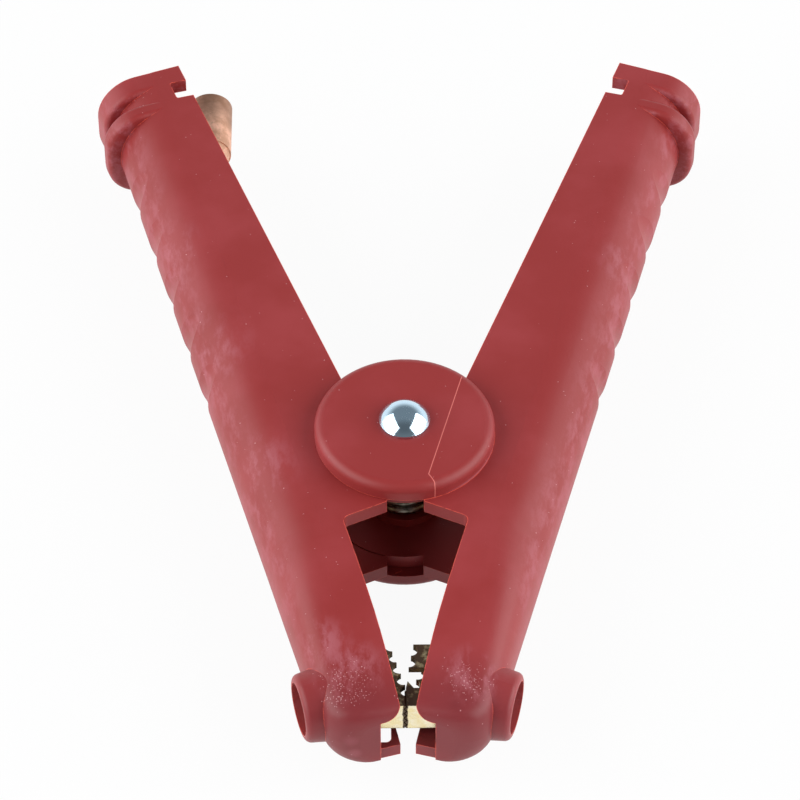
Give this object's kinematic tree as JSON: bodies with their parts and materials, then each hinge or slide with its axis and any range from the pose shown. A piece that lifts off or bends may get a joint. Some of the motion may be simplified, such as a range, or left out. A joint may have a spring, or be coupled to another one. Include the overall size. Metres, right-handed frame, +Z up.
{
  "type": "crocodile clip",
  "caption": "Fully insulated heavy crocodile clip with toothed brass jaws, a riveted spring pivot and a copper crimp tube for the cable.",
  "frame": {"origin": "on the pivot axis, at the flat face of the lower pivot disc, where the clip rests", "axes": "+Z up the pivot axis towards the domed rivet head, +Y from the pivot towards the handle ends, -Y towards the jaws, +X towards the half that carries the upper disc"},
  "size_m": [0.1264, 0.172, 0.0327],
  "materials": {
    "red_plastic": "satin moulded red plastic",
    "brass": "pale gold plating on pressed brass",
    "copper": "dull annealed copper",
    "bright_rivet": "bright plated, mirror smooth",
    "spring_steel": "oiled spring wire",
    "plated_steel": "zinc plated"
  },
  "bodies": {
    "left_half": {"left_shell": "red_plastic", "left_jaw": "brass", "left_jaw_screw": "plated_steel", "pivot_rivet": "bright_rivet", "rivet_washer": "plated_steel", "spring_sleeve": "plated_steel", "torsion_spring": "spring_steel", "cable_lug": "copper", "lug_screw": "plated_steel", "lug_nut": "plated_steel"},
    "right_half": {"right_shell": "red_plastic", "right_jaw": "brass", "right_jaw_screw": "plated_steel"}
  },
  "joints": [
    {"name": "pivot", "type": "hinge", "parent": "left_half", "child": "right_half", "pos_m": [0, 0, 0.0146], "axis": [0, 0, 1], "range_deg": [0, 45], "stiffness_Nm_per_rad": 2, "springref_deg": -57.3, "deforming": ["torsion_spring"]}
  ]
}
